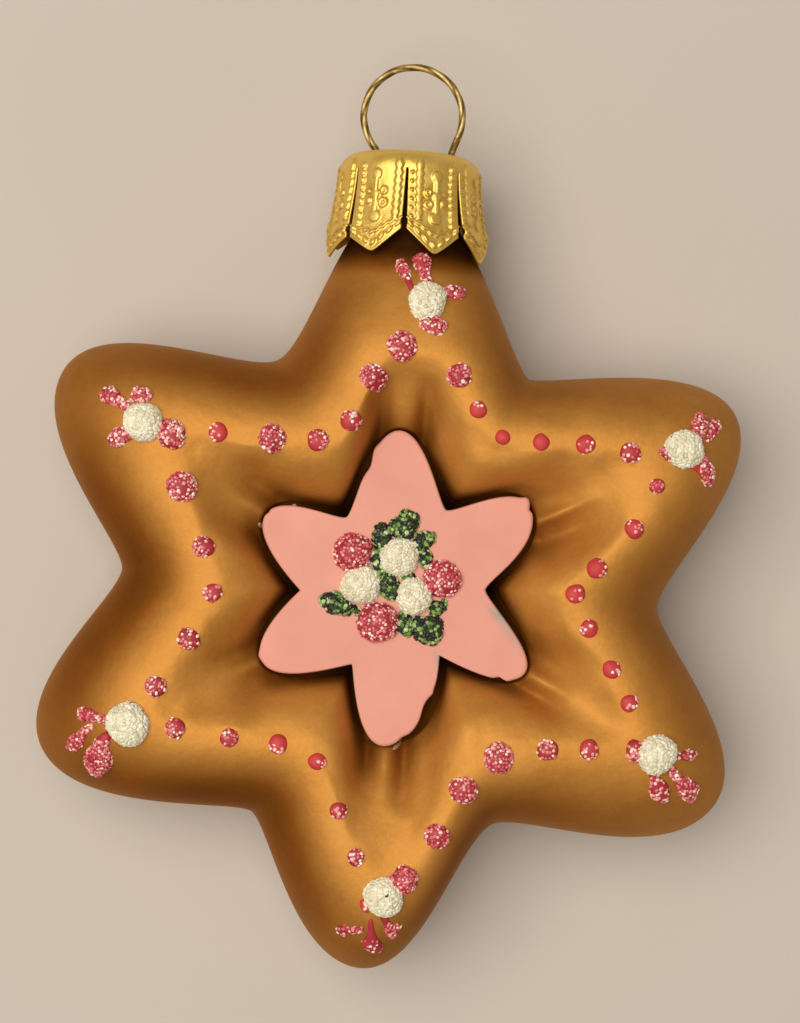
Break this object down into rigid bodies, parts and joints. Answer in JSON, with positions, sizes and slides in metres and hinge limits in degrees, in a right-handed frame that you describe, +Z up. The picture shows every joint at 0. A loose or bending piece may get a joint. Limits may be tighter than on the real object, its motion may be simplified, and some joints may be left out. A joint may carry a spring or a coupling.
{
  "type": "star christmas ornament",
  "caption": "Blown glass tree ornament shaped as a puffed gingerbread star, with a recessed pink star, dotted icing, glittered flowers, a gold crown cap and a hanging ring.",
  "frame": {"origin": "middle of the star, on the small flat of its back on which it rests", "axes": "+Y from the star to its hanging ring, +Z up out of the decorated face, +X to the right of that face"},
  "size_m": [0.0757, 0.0994, 0.026],
  "materials": {
    "glass_star": "satin gold-brown lacquer, darker towards its edges",
    "pink_star": "matte salmon pink paint",
    "cap": "satin pressed gold-coloured sheet",
    "ring": "dull twisted wire"
  },
  "bodies": {
    "root": {"glass_star": "glass_star", "pink_star": "pink_star", "cap": "cap", "ring": "ring"}
  },
  "joints": []
}
